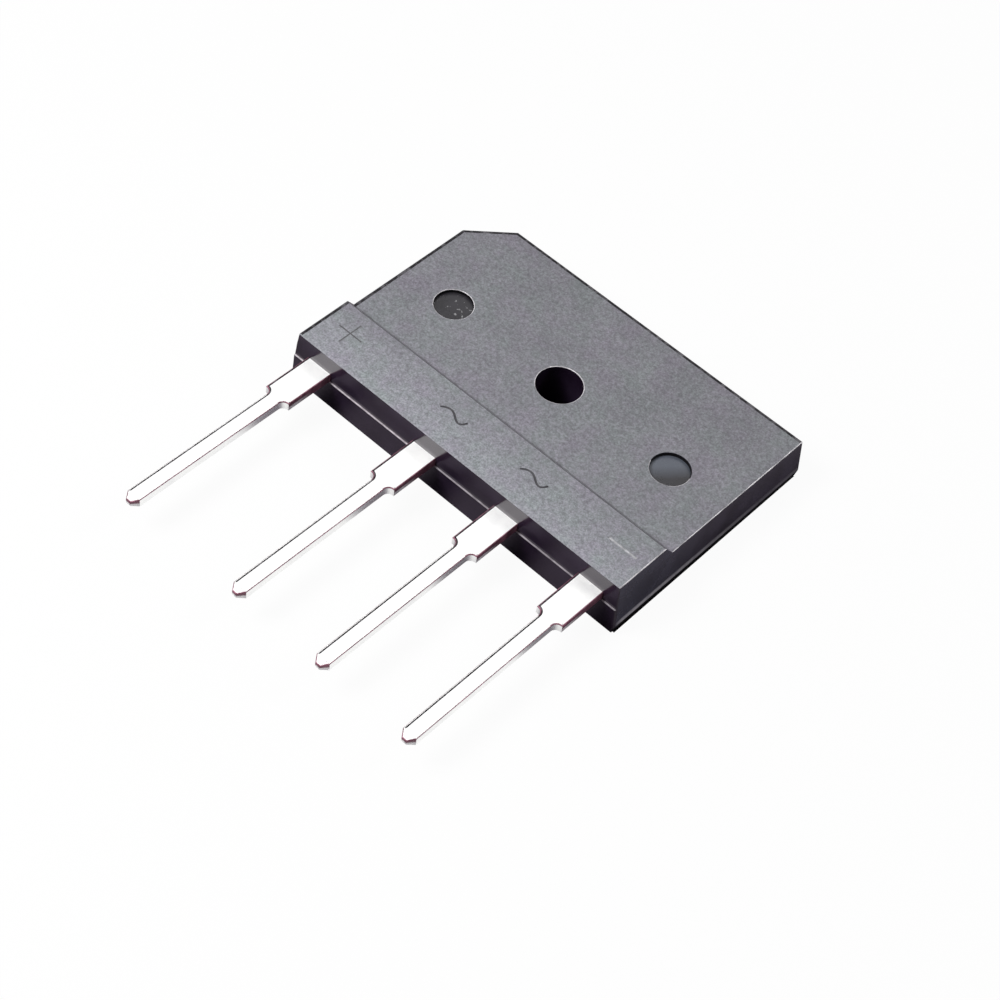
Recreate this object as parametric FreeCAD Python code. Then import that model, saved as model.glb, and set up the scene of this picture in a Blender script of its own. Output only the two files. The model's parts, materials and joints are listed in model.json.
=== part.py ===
import FreeCAD, Part
import math
import os

# Bridge rectifier in a flat moulded package with four leads in one row. All sizes are in millimetres.
# The origin is on the axis of the screw hole, in the plane of the heat-sink face. +Z points to the
# marked side, +X runs along the row of leads from plus to minus, and the leads point along -Y.

# Moulded body
body_length = 30.0
body_width = 20.0
plate_thickness = 3.6
strip_rise = 1.0
strip_width = 4.9
step_run = 0.8
corner_cut = 3.0
hole_diameter = 3.4
hole_to_lead_edge = 11.0
recess_diameter = 2.9
recess_depth = 0.3
recess_spacing = 20.2

# Draft of the mould, in degrees: the side walls are widest a little above the heat-sink face, and the
# wall with the leads is widest at the underside of the leads, where the halves of the mould meet
wall_draft = 4.5
skirt_height = 0.6
skirt_draft = 10.0
lead_wall_draft = 3.3
lower_lead_wall_draft = 2.3
parting_ledge = 0.12

# Leads, which are one stamped sheet with the pads inside the body
sheet_thickness = 0.7
lead_height = 2.5
lead_length = 17.2
end_lead_inset = 2.5
plus_pitch = 10.0
minus_pitch = 7.5
shoulder_width = 2.2
shoulder_length = 3.85
shoulder_radius = 0.45
tail_width = 1.15
tip_width = 0.4
tip_taper = 0.5
tip_thinning = 0.15

# Lead frame inside the body
pad_height = 0.8
jog_start = 1.4
jog_run = 2.2
bend_radius = 0.4
column_width = 2.6
frame_gap = 1.0
edge_cover = 1.1
hole_cover = 1.3
pad_setback = 0.6
corner_ramp = 1.55

# Diode dies, solder and jumper clips
die_size = 3.0
die_thickness = 0.3
mesa_size = 2.4
mesa_height = 0.08
die_margin = 0.5
solder_thickness = 0.05
jumper_width = 1.8
jumper_thickness = 0.3
jumper_bend_radius = 0.2
foot_length = 1.4
foot_ramp = 0.6
foot_margin = 0.25

# Levels above the heat-sink face
strip_top = plate_thickness + strip_rise
lead_middle = lead_height + sheet_thickness / 2
pad_middle = pad_height + sheet_thickness / 2
pad_top = pad_height + sheet_thickness
die_bottom = pad_top + solder_thickness
die_top = die_bottom + die_thickness
jumper_bottom = die_top + solder_thickness
foot_bottom = pad_top + solder_thickness

# Places along Y, from the leads to the far edge
lead_edge = -hole_to_lead_edge
far_edge = lead_edge + body_width
tip_end = lead_edge - lead_length
jog_end = lead_edge + jog_start + jog_run
pad_near = jog_end + pad_setback
copper_far = far_edge - edge_cover
rail_near = hole_diameter / 2 + hole_cover
pad_far = rail_near - frame_gap

# Places along X, from the plus side to the minus side
copper_side = body_length / 2 - edge_cover
column_inner = copper_side - column_width
pad_outer = column_inner - frame_gap
pad_inner = hole_diameter / 2 + hole_cover
plus_x = end_lead_inset - body_length / 2
left_ac_x = plus_x + plus_pitch
minus_x = body_length / 2 - end_lead_inset
right_ac_x = minus_x - minus_pitch
rail_end = right_ac_x + die_size / 2 + die_margin


def vector(x, y, z=0.0):
    return FreeCAD.Vector(x, y, z)


def flat_face(points):
    return Part.Face(Part.makePolygon(points + [points[0]]))


def block(x_size, y_size, z_size, x, y, z):
    # A block centred at x and y that stands on the level z
    return Part.makeBox(x_size, y_size, z_size, vector(x - x_size / 2, y - y_size / 2, z))


# Moulded body

def wall_inset(height):
    # How far a drafted side wall lies inside its widest line, at a height above the heat-sink face
    if height < skirt_height:
        return (skirt_height - height) * math.tan(math.radians(skirt_draft))
    return (height - skirt_height) * math.tan(math.radians(wall_draft))


def side_to_side_prism():
    # The section seen along the leads, with both drafted end walls
    half = body_length / 2
    foot = half - wall_inset(0)
    crest = half - wall_inset(strip_top)
    section = [
        vector(-foot, lead_edge, 0),
        vector(foot, lead_edge, 0),
        vector(half, lead_edge, skirt_height),
        vector(crest, lead_edge, strip_top),
        vector(-crest, lead_edge, strip_top),
        vector(-half, lead_edge, skirt_height),
    ]
    return flat_face(section).extrude(vector(0, body_width, 0))


def lead_to_far_prism():
    # The section seen along the row of leads: the lead wall with its ledge, the strip, the step, the
    # plate and the far wall
    left = -body_length / 2
    lower_inset = lead_height * math.tan(math.radians(lower_lead_wall_draft))
    upper_foot = lead_edge + parting_ledge
    upper_inset = (strip_top - lead_height) * math.tan(math.radians(lead_wall_draft))
    strip_end = lead_edge + strip_width
    section = [
        vector(left, lead_edge + lower_inset, 0),
        vector(left, lead_edge, lead_height),
        vector(left, upper_foot, lead_height),
        vector(left, upper_foot + upper_inset, strip_top),
        vector(left, strip_end, strip_top),
        vector(left, strip_end + step_run, plate_thickness),
        vector(left, far_edge - wall_inset(plate_thickness), plate_thickness),
        vector(left, far_edge, skirt_height),
        vector(left, far_edge - wall_inset(0), 0),
    ]
    return flat_face(section).extrude(vector(body_length, 0, 0))


def corner_prism():
    # All that lies inside the drafted wall of the cut corner, which marks the plus side
    outward = vector(-1, 1) / math.sqrt(2)
    along = vector(1, 1) / math.sqrt(2)
    wall = (body_length / 2 + far_edge - corner_cut) / math.sqrt(2)
    reach = body_length + body_width
    section = []
    for distance, height in [
        (-reach, 0),
        (wall - wall_inset(0), 0),
        (wall, skirt_height),
        (wall - wall_inset(strip_top), strip_top),
        (-reach, strip_top),
    ]:
        section.append(outward * distance - along * reach + vector(0, 0, height))
    return flat_face(section).extrude(along * 2 * reach)


def moulding():
    shape = side_to_side_prism().common(lead_to_far_prism()).common(corner_prism())
    shape = shape.cut(Part.makeCylinder(hole_diameter / 2, plate_thickness))
    for side in (-1, 1):
        centre = vector(side * recess_spacing / 2, 0, plate_thickness - recess_depth)
        shape = shape.cut(Part.makeCylinder(recess_diameter / 2, recess_depth, centre))
    return shape


# Formed strips

def strip_section(path, thickness, inner_radius):
    # The face of a bent strip along a path of points in the YZ plane, with true arcs at its bends
    middle_radius = inner_radius + thickness / 2
    starts = [path[0]]
    ends = []
    bends = []
    for before, corner, after in zip(path, path[1:], path[2:]):
        arriving = (corner - before).normalize()
        leaving = (after - corner).normalize()
        turn = arriving.getAngle(leaving)
        side = 1 if arriving.cross(leaving).x > 0 else -1
        trim = middle_radius * math.tan(turn / 2)
        ends.append(corner - arriving * trim)
        starts.append(corner + leaving * trim)
        bisector = (leaving - arriving).normalize()
        centre = corner + bisector * (middle_radius / math.cos(turn / 2))
        bends.append((centre, -bisector, side))
    ends.append(path[-1])

    def one_side(offset):
        # Straight runs and arcs at a distance to the left of the path
        edges = []
        for number, (start, end) in enumerate(zip(starts, ends)):
            direction = (end - start).normalize()
            left = vector(0, -direction.z, direction.y) * offset
            edges.append(Part.LineSegment(start + left, end + left))
            if number < len(bends):
                centre, outward, side = bends[number]
                following = (ends[number + 1] - starts[number + 1]).normalize()
                next_left = vector(0, -following.z, following.y) * offset
                crown = centre + outward * (middle_radius - side * offset)
                edges.append(Part.Arc(end + left, crown, starts[number + 1] + next_left))
        return edges

    upper = one_side(thickness / 2)
    lower = one_side(-thickness / 2)
    near_cap = Part.LineSegment(lower[0].StartPoint, upper[0].StartPoint)
    far_cap = Part.LineSegment(upper[-1].EndPoint, lower[-1].EndPoint)
    edges = [piece.toShape() for piece in [near_cap] + upper + [far_cap] + lower]
    return Part.Face(Part.Wire(Part.__sortEdges__(edges)))


# Terminals

def formed_sheet():
    # The sheet before it is cut to outlines: flat leads with thinned tips, a jog down and flat pads
    path = [
        vector(0, tip_end, lead_middle),
        vector(0, lead_edge + jog_start, lead_middle),
        vector(0, jog_end, pad_middle),
        vector(0, copper_far, pad_middle),
    ]
    section = strip_section(path, sheet_thickness, bend_radius)
    for side in (-1, 1):
        surface = lead_middle + side * sheet_thickness / 2
        wedge = [
            vector(0, tip_end, surface),
            vector(0, tip_end + tip_taper, surface),
            vector(0, tip_end, surface - side * tip_thinning),
        ]
        section = section.cut(flat_face(wedge))
    section.translate(vector(-body_length / 2, 0, 0))
    return section.extrude(vector(body_length, 0, 0))


def lead_blank(lead_x):
    # A lead as seen from above, from its tapered tip through the rounded shoulder to its pad
    shoulder_y = lead_edge - shoulder_length
    step = (shoulder_width - tail_width) / 2
    radius = min(shoulder_radius, step * 0.95)
    half_tail = tail_width / 2
    half_shoulder = shoulder_width / 2
    bend = radius * math.cos(math.radians(45))
    tip_corner = vector(tip_width / 2, tip_end)
    taper_end = vector(half_tail, tip_end + tip_taper)
    arc_start = vector(half_tail, shoulder_y - radius)
    arc_middle = vector(half_tail + radius - bend, shoulder_y - radius + bend)
    arc_end = vector(half_tail + radius, shoulder_y)
    shoulder_corner = vector(half_shoulder, shoulder_y)
    root = vector(half_shoulder, pad_near + corner_ramp)
    middle_root = vector(0, pad_near + corner_ramp)
    edges = [
        Part.makeLine(vector(0, tip_end), tip_corner),
        Part.makeLine(tip_corner, taper_end),
        Part.makeLine(taper_end, arc_start),
        Part.Arc(arc_start, arc_middle, arc_end).toShape(),
        Part.makeLine(arc_end, shoulder_corner),
        Part.makeLine(shoulder_corner, root),
        Part.makeLine(root, middle_root),
        Part.makeLine(middle_root, vector(0, tip_end)),
    ]
    right_half = Part.Face(Part.Wire(edges)).extrude(vector(0, 0, strip_top))
    left_half = right_half.mirror(vector(0, 0), vector(1, 0))
    blank = right_half.fuse(left_half)
    blank.translate(vector(lead_x, 0))
    return blank


def plus_pad():
    # A column behind the plus lead and a rail along the far edge, which pass round the screw hole
    cut = corner_cut - (2 - math.sqrt(2)) * edge_cover
    return [
        vector(-copper_side, pad_near),
        vector(-column_inner, pad_near),
        vector(-column_inner, rail_near),
        vector(rail_end, rail_near),
        vector(rail_end, copper_far),
        vector(cut - copper_side, copper_far),
        vector(-copper_side, copper_far - cut),
    ]


def left_ac_pad():
    # A pad between the plus column and the screw hole, with a ramp out to its lead
    lead_side = left_ac_x + shoulder_width / 2
    return [
        vector(-pad_outer, pad_near),
        vector(lead_side, pad_near),
        vector(lead_side, pad_near + corner_ramp),
        vector(-pad_inner, pad_near + corner_ramp + lead_side + pad_inner),
        vector(-pad_inner, pad_far),
        vector(-pad_outer, pad_far),
    ]


def right_ac_pad():
    return [
        vector(pad_inner, pad_near),
        vector(pad_outer, pad_near),
        vector(pad_outer, pad_far),
        vector(pad_inner, pad_far),
    ]


def minus_pad():
    return [
        vector(column_inner, pad_near),
        vector(copper_side, pad_near),
        vector(copper_side, copper_far),
        vector(column_inner, copper_far),
    ]


def terminal(lead_x, pad_points):
    pad_blank = flat_face(pad_points).extrude(vector(0, 0, strip_top))
    blank = lead_blank(lead_x).fuse(pad_blank).removeSplitter()
    return blank.common(formed_sheet()).removeSplitter()


# Diodes

def square(size, x, y, z):
    half = size / 2
    corners = [
        vector(x - half, y - half, z),
        vector(x + half, y - half, z),
        vector(x + half, y + half, z),
        vector(x - half, y + half, z),
    ]
    return Part.makePolygon(corners + [corners[0]])


def mesa_die(x, y):
    # A square silicon die whose upper edge slopes in to the smaller contact
    base = block(die_size, die_size, die_thickness - mesa_height, x, y, die_bottom)
    shelf = die_top - mesa_height
    mesa = Part.makeLoft([square(die_size, x, y, shelf), square(mesa_size, x, y, die_top)], True)
    return base.fuse(mesa).removeSplitter()


def jumper(die_x, die_y, foot_x, foot_y):
    # A copper clip, flat over the die and stepped down to its foot on the other frame
    across = vector(foot_x - die_x, foot_y - die_y)
    reach = across.Length
    high = jumper_bottom + jumper_thickness / 2
    low = foot_bottom + jumper_thickness / 2
    ramp_end = reach - foot_length / 2
    path = [
        vector(0, -jumper_width / 2, high),
        vector(0, ramp_end - foot_ramp, high),
        vector(0, ramp_end, low),
        vector(0, reach + foot_length / 2, low),
    ]
    section = strip_section(path, jumper_thickness, jumper_bend_radius)
    clip = section.extrude(vector(jumper_width, 0, 0))
    clip.translate(vector(-jumper_width / 2, 0, 0))
    turn = math.degrees(math.atan2(-across.x, across.y))
    clip.rotate(vector(0, 0), vector(0, 0, 1), turn)
    clip.translate(vector(die_x, die_y))
    return clip


def diode(die_x, die_y, foot_x, foot_y):
    # The die, its two layers of solder, the clip and the solder under the clip's foot, by name ending
    if abs(foot_x - die_x) > abs(foot_y - die_y):
        foot_solder = block(foot_length, jumper_width, solder_thickness, foot_x, foot_y, pad_top)
    else:
        foot_solder = block(jumper_width, foot_length, solder_thickness, foot_x, foot_y, pad_top)
    return {
        "die": mesa_die(die_x, die_y),
        "die_solder": block(die_size, die_size, solder_thickness, die_x, die_y, pad_top),
        "contact_solder": block(jumper_width, jumper_width, solder_thickness, die_x, die_y, die_top),
        "jumper": jumper(die_x, die_y, foot_x, foot_y),
        "foot_solder": foot_solder,
    }


def bridge():
    # The four diodes: two on the plus rail and one on each alternating-current pad
    rail_y = (rail_near + copper_far) / 2
    left_x = -(pad_outer + pad_inner) / 2
    near_y = pad_near + die_margin + die_size / 2
    foot_y = pad_far - foot_margin - foot_length / 2
    outer_x = pad_outer - die_margin / 2 - die_size / 2
    outer_y = near_y + jumper_width / 2 + frame_gap + die_size / 2
    column_x = (column_inner + copper_side) / 2
    return {
        "left_plus": diode(left_x, rail_y, left_x, foot_y),
        "right_plus": diode(right_ac_x, rail_y, right_ac_x, foot_y),
        "left_minus": diode(left_x, near_y, column_x, near_y),
        "right_minus": diode(outer_x, outer_y, column_x, outer_y),
    }


# Assembly: the body is moulded round everything else, so what it holds is cut out of it

def build():
    pieces = {
        "plus_terminal": terminal(plus_x, plus_pad()),
        "left_ac_terminal": terminal(left_ac_x, left_ac_pad()),
        "right_ac_terminal": terminal(right_ac_x, right_ac_pad()),
        "minus_terminal": terminal(minus_x, minus_pad()),
    }
    for place, diode_pieces in bridge().items():
        for ending, shape in diode_pieces.items():
            pieces[place + "_" + ending] = shape
    body = moulding()
    for shape in pieces.values():
        body = body.cut(shape)
    pieces["body"] = body
    return pieces


os.makedirs("parts", exist_ok=True)
for name, shape in build().items():
    shape.exportStep("parts/" + name + ".step")
    print(name, shape.ShapeType, len(shape.Solids), shape.isValid(), round(shape.Volume, 3))
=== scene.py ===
import json
import math

import bmesh
import bpy
from mathutils import Matrix, Vector


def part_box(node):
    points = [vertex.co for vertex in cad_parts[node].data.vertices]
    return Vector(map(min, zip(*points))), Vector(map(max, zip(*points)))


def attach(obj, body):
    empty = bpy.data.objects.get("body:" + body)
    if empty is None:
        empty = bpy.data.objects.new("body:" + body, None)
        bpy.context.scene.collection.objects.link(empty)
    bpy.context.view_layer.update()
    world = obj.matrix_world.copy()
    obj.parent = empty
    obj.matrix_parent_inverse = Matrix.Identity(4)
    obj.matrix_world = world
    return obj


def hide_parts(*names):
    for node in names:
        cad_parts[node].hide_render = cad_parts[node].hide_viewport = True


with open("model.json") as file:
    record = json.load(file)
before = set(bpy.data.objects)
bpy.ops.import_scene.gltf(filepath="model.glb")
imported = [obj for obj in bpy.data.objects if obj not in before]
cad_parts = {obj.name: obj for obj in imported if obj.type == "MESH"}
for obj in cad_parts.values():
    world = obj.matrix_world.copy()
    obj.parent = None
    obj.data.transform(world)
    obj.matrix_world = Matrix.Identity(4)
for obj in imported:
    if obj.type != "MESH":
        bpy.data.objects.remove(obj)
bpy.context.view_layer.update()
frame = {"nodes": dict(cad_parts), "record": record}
print("frame loaded with", len(frame["nodes"]), "nodes")

# Everything is modelled in millimetres, because its finest edges are smaller than the tools' own
# tolerances in metres, and each finished piece is brought to metres
millimetre = 0.001


# Small helpers for modelling by hand

def makeActive(piece):
    bpy.ops.object.select_all(action="DESELECT")
    piece.hide_viewport = False
    piece.select_set(True)
    bpy.context.view_layer.objects.active = piece


def startEditing(piece):
    makeActive(piece)
    bpy.ops.object.mode_set(mode="EDIT")
    bpy.ops.mesh.select_mode(type="VERT")


def stopEditing():
    bpy.ops.object.mode_set(mode="OBJECT")


def applyPlace(piece):
    makeActive(piece)
    bpy.ops.object.transform_apply(location=True, rotation=True, scale=True)


def nodeBox(name):
    # The lowest and highest corners of a node, in millimetres
    low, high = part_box(name)
    return low / millimetre, high / millimetre


def pickFaces(piece, wanted):
    # Select the faces whose centre and normal pass the test
    bpy.ops.mesh.select_mode(type="FACE")
    bpy.ops.mesh.select_all(action="DESELECT")
    mesh = bmesh.from_edit_mesh(piece.data)
    for face in mesh.faces:
        face.select_set(wanted(face.calc_center_median(), face.normal))
    bmesh.update_edit_mesh(piece.data)


def pickEdges(piece, wanted):
    # Select the edges whose two ends and whose angle between faces pass the test
    bpy.ops.mesh.select_mode(type="EDGE")
    bpy.ops.mesh.select_all(action="DESELECT")
    mesh = bmesh.from_edit_mesh(piece.data)
    for edge in mesh.edges:
        bend = math.degrees(edge.calc_face_angle(0.0))
        edge.select_set(wanted(edge.verts[0].co, edge.verts[1].co, bend))
    bmesh.update_edit_mesh(piece.data)


def pickPoints(piece, wanted):
    bpy.ops.mesh.select_mode(type="VERT")
    bpy.ops.mesh.select_all(action="DESELECT")
    mesh = bmesh.from_edit_mesh(piece.data)
    for point in mesh.verts:
        point.select_set(wanted(point.co))
    mesh.select_flush(True)
    bmesh.update_edit_mesh(piece.data)


def near(first, second):
    # Whether two measures agree to a thousandth of a millimetre
    return abs(first - second) < 0.001


def mergeAll():
    # Join the points that coincide and the faces that lie in one plane
    bpy.ops.mesh.select_all(action="SELECT")
    bpy.ops.mesh.remove_doubles(threshold=0.0005)
    bpy.ops.mesh.dissolve_limited(angle_limit=math.radians(0.2))


def move(x=0.0, y=0.0, z=0.0):
    bpy.ops.transform.translate(value=(x, y, z))


def pull(x=0.0, y=0.0, z=0.0):
    bpy.ops.mesh.extrude_region_move(TRANSFORM_OT_translate={"value": (x, y, z)})


def sliceAt(place, direction, clearOutside=False):
    bpy.ops.mesh.select_all(action="SELECT")
    bpy.ops.mesh.bisect(
        plane_co=place, plane_no=direction, clear_outer=clearOutside, use_fill=clearOutside)


def roundEdges(width, segments):
    bpy.ops.mesh.bevel(offset=width, segments=segments, profile=0.5, affect="EDGES", clamp_overlap=True)


def cutAway(piece, tool):
    # Take a tool's shape out of a piece, and give the new faces the tool's finish
    makeActive(piece)
    cut = piece.modifiers.new("cut", "BOOLEAN")
    cut.operation = "DIFFERENCE"
    cut.solver = "EXACT"
    cut.object = tool
    cut.material_mode = "TRANSFER"
    bpy.ops.object.modifier_apply(modifier=cut.name)
    bpy.data.objects.remove(tool, do_unlink=True)


def smoothWithFlatFaces(piece):
    # Rounded edges shade smoothly, and the flat faces beside them stay flat
    makeActive(piece)
    bpy.ops.object.shade_smooth_by_angle(angle=math.radians(50))
    weight = piece.modifiers.new("flat faces", "WEIGHTED_NORMAL")
    weight.keep_sharp = True
    weight.weight = 100
    bpy.ops.object.modifier_apply(modifier=weight.name)


def finishPiece(piece, nodeName):
    piece.scale = (millimetre, millimetre, millimetre)
    applyPlace(piece)
    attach(piece, "root")
    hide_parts(nodeName)


def mergedCopy(nodeName, name):
    # A copy of a node with its loose triangles joined, in millimetres
    copy = frame["nodes"][nodeName].copy()
    copy.data = frame["nodes"][nodeName].data.copy()
    copy.name = name
    for label in list(copy.keys()):
        del copy[label]
    copy.parent = None
    bpy.context.scene.collection.objects.link(copy)
    copy.data.materials.clear()
    copy.data.transform(Matrix.Scale(1 / millimetre, 4))
    startEditing(copy)
    bpy.ops.mesh.customdata_custom_splitnormals_clear()
    mergeAll()
    stopEditing()
    return copy


# Materials. Patterns read the object's own coordinates, which are in metres, so a pattern of a tenth
# of a millimetre has a scale of thousands. Most of a noise lies between the two ends of its span.

noiseSpan = (0.3, 0.7)


def newFinish(name):
    finish = bpy.data.materials.new(name)
    finish.use_nodes = True
    nodes = finish.node_tree.nodes
    links = finish.node_tree.links
    nodes.clear()
    output = nodes.new("ShaderNodeOutputMaterial")
    shader = nodes.new("ShaderNodeBsdfPrincipled")
    place = nodes.new("ShaderNodeTexCoord")
    links.new(shader.outputs["BSDF"], output.inputs["Surface"])
    return finish, nodes, links, shader, place.outputs["Object"]


def addNoise(nodes, links, place, scale, detail=3.0, roughness=0.55, stretch=(1, 1, 1)):
    mapping = nodes.new("ShaderNodeMapping")
    mapping.inputs["Scale"].default_value = stretch
    noise = nodes.new("ShaderNodeTexNoise")
    noise.inputs["Scale"].default_value = scale
    noise.inputs["Detail"].default_value = detail
    noise.inputs["Roughness"].default_value = roughness
    links.new(place, mapping.inputs["Vector"])
    links.new(mapping.outputs["Vector"], noise.inputs["Vector"])
    return noise.outputs["Fac"]


def addRamp(nodes, links, source, stops):
    ramp = nodes.new("ShaderNodeValToRGB")
    elements = ramp.color_ramp.elements
    while len(elements) < len(stops):
        elements.new(0.5)
    for element, (position, colour) in zip(elements, stops):
        element.position = position
        element.color = (*colour, 1)
    links.new(source, ramp.inputs["Fac"])
    return ramp.outputs["Color"]


def addCloud(nodes, links, noise, span, dark, light):
    # Two colours that a noise mixes
    return addRamp(nodes, links, noise, list(zip(span, (dark, light))))


def addRange(nodes, links, source, span, target=(0.0, 1.0)):
    # Carry the values of a span over to a target span, and stop at its ends
    change = nodes.new("ShaderNodeMapRange")
    change.inputs["From Min"].default_value = span[0]
    change.inputs["From Max"].default_value = span[1]
    change.inputs["To Min"].default_value = target[0]
    change.inputs["To Max"].default_value = target[1]
    links.new(source, change.inputs["Value"])
    return change.outputs["Result"]


def addMath(nodes, links, operation, first, second=0.0):
    step = nodes.new("ShaderNodeMath")
    step.operation = operation
    for socket, value in zip(step.inputs, (first, second)):
        if isinstance(value, (int, float)):
            socket.default_value = value
        else:
            links.new(value, socket)
    return step.outputs["Value"]


def multiplyAll(nodes, links, *factors):
    product = factors[0]
    for factor in factors[1:]:
        product = addMath(nodes, links, "MULTIPLY", product, factor)
    return product


def mixColour(nodes, links, factor, first, second):
    mix = nodes.new("ShaderNodeMix")
    mix.data_type = "RGBA"
    links.new(factor, mix.inputs["Factor"])
    for socket, value in ((mix.inputs[6], first), (mix.inputs[7], second)):
        if isinstance(value, tuple):
            socket.default_value = (*value, 1)
        else:
            links.new(value, socket)
    return mix.outputs[2]


def shadeColour(nodes, links, colour, shade):
    # Darken a colour where the shade is below 1
    mix = nodes.new("ShaderNodeMix")
    mix.data_type = "RGBA"
    mix.blend_type = "MULTIPLY"
    mix.inputs["Factor"].default_value = 1.0
    links.new(colour, mix.inputs[6])
    links.new(shade, mix.inputs[7])
    return mix.outputs[2]


def addAxes(nodes, links, place):
    split = nodes.new("ShaderNodeSeparateXYZ")
    links.new(place, split.inputs["Vector"])
    return split.outputs["X"], split.outputs["Y"], split.outputs["Z"]


def addRoughness(nodes, links, shader, noise, span):
    links.new(addRange(nodes, links, noise, noiseSpan, span), shader.inputs["Roughness"])


def addBump(nodes, links, shader, height, distance, strength):
    bump = nodes.new("ShaderNodeBump")
    bump.inputs["Strength"].default_value = strength
    bump.inputs["Distance"].default_value = distance
    links.new(height, bump.inputs["Height"])
    links.new(bump.outputs["Normal"], shader.inputs["Normal"])


texturedSettings = {
    "dark": (0.182, 0.182, 0.202),  # the moulding's matt faces, from a darker to a lighter patch; their grey is partly the eroded finish and partly painted sheen
    "light": (0.230, 0.232, 0.254),
    "patchScale": 260,  # patches of about 4 mm
    "patchSpan": (0.35, 0.65),
    "paleSheenColour": (0.338, 0.350, 0.380),  # painted sheen: the matt faces are painted paler towards the leads
    "paleSheenShares": [(0.0, 0.0), (0.65, 0.22), (0.80, 0.42), (1.0, 1.0)],
    "paleSheenSpan": (0.009, -0.011),  # from the far edge to the leads
    "grainScale": 3300,  # the eroded texture of the mould, from about 0.3 mm downwards
    "grainSpan": (0.34, 0.62),
    "grainShade": (0.50, 1.06),
    "speckScale": 8200,  # and its finest specks
    "speckSpan": (0.34, 0.66),
    "speckShade": (0.80, 1.16),
    "hueScale": 420,  # faint green and violet clouds
    "hues": [(0.36, (0.945, 1.0, 0.955)), (0.5, (0.985, 0.975, 0.985)), (0.64, (1.0, 0.93, 1.0))],
    "grainHeight": 0.000014,
    "roughness": (0.5, 0.62),
}


def texturedEpoxy():
    settings = texturedSettings
    finish, nodes, links, shader, place = newFinish("textured epoxy")
    patches = addNoise(nodes, links, place, settings["patchScale"], detail=8, roughness=0.68)
    base = addCloud(nodes, links, patches, settings["patchSpan"], settings["dark"], settings["light"])
    x, y, z = addAxes(nodes, links, place)
    # Painted sheen: the matt faces turn paler towards the leads
    across = addRange(nodes, links, y, settings["paleSheenSpan"])
    pale = addRamp(nodes, links, across, [(stop, (share,) * 3) for stop, share in settings["paleSheenShares"]])
    base = mixColour(nodes, links, pale, base, settings["paleSheenColour"])
    hueNoise = addNoise(nodes, links, place, settings["hueScale"], detail=5, roughness=0.7)
    base = shadeColour(nodes, links, base, addRamp(nodes, links, hueNoise, settings["hues"]))
    grain = addNoise(nodes, links, place, settings["grainScale"], detail=6, roughness=0.85)
    shade = addRange(nodes, links, grain, settings["grainSpan"], settings["grainShade"])
    specks = addNoise(nodes, links, place, settings["speckScale"], detail=1)
    speckShade = addRange(nodes, links, specks, settings["speckSpan"], settings["speckShade"])
    shade = multiplyAll(nodes, links, shade, speckShade)
    links.new(shadeColour(nodes, links, base, shade), shader.inputs["Base Color"])
    addRoughness(nodes, links, shader, grain, settings["roughness"])
    addBump(nodes, links, shader, grain, settings["grainHeight"], strength=0.8)
    return finish


smoothSettings = {
    "dark": (0.013, 0.007, 0.017),  # the drafted walls, which the mould leaves almost black
    "light": (0.023, 0.0145, 0.030),
    "patchScale": 420,
    "patchSpan": (0.35, 0.65),
    "sideStart": (0.0146, -0.0107),  # where the wall on the minus side starts along X and Y
    "sideSheenDark": (0.018, 0.014, 0.026),  # it is painted paler and bluer than the other walls, a painted sheen
    "sideSheenLight": (0.062, 0.053, 0.084),
    "stripSideSheenDark": (0.045, 0.047, 0.070),  # and painted paler still towards the strip, also painted sheen
    "stripSideSheenLight": (0.088, 0.093, 0.130),
    "stripSideSpan": (-0.0010, -0.0080),
    "highlightColour": (0.90, 0.88, 0.92),  # a painted highlight runs as a pale line along its foot
    "highlightHeight": 0.00076,
    "highlightWidth": 0.00032,
    "highlightEdge": 0.0001067,
    "highlightStart": (-0.0108, -0.0100),
    "highlightFade": (0.004, -0.009),  # and is fainter towards the far end
    "highlightShares": (0.22, 1.0),
    "breakScale": 1400,
    "breakSpan": (0.38, 0.60),
    "breakShares": (0.7, 1.0),
    "rippleScale": 900,
    "rippleHeight": 0.000004,
    "roughness": (0.11, 0.18),
    "specular": 0.85,
    "specularTint": (1.0, 0.97, 0.97),
}


def highlightLineShare(nodes, links, place, y, z):
    # How much of the painted highlight line shows, for a wall that it runs along
    settings = smoothSettings
    offset = addMath(nodes, links, "SUBTRACT", z, settings["highlightHeight"])
    distance = addMath(nodes, links, "ABSOLUTE", offset)
    line = addRange(nodes, links, distance, (settings["highlightWidth"], settings["highlightEdge"]))
    fade = addRange(nodes, links, y, settings["highlightFade"], settings["highlightShares"])
    start = addRange(nodes, links, y, settings["highlightStart"])
    breakNoise = addNoise(nodes, links, place, settings["breakScale"])
    fainter = addRange(nodes, links, breakNoise, settings["breakSpan"], settings["breakShares"])
    return multiplyAll(nodes, links, line, fade, start, fainter)


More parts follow.
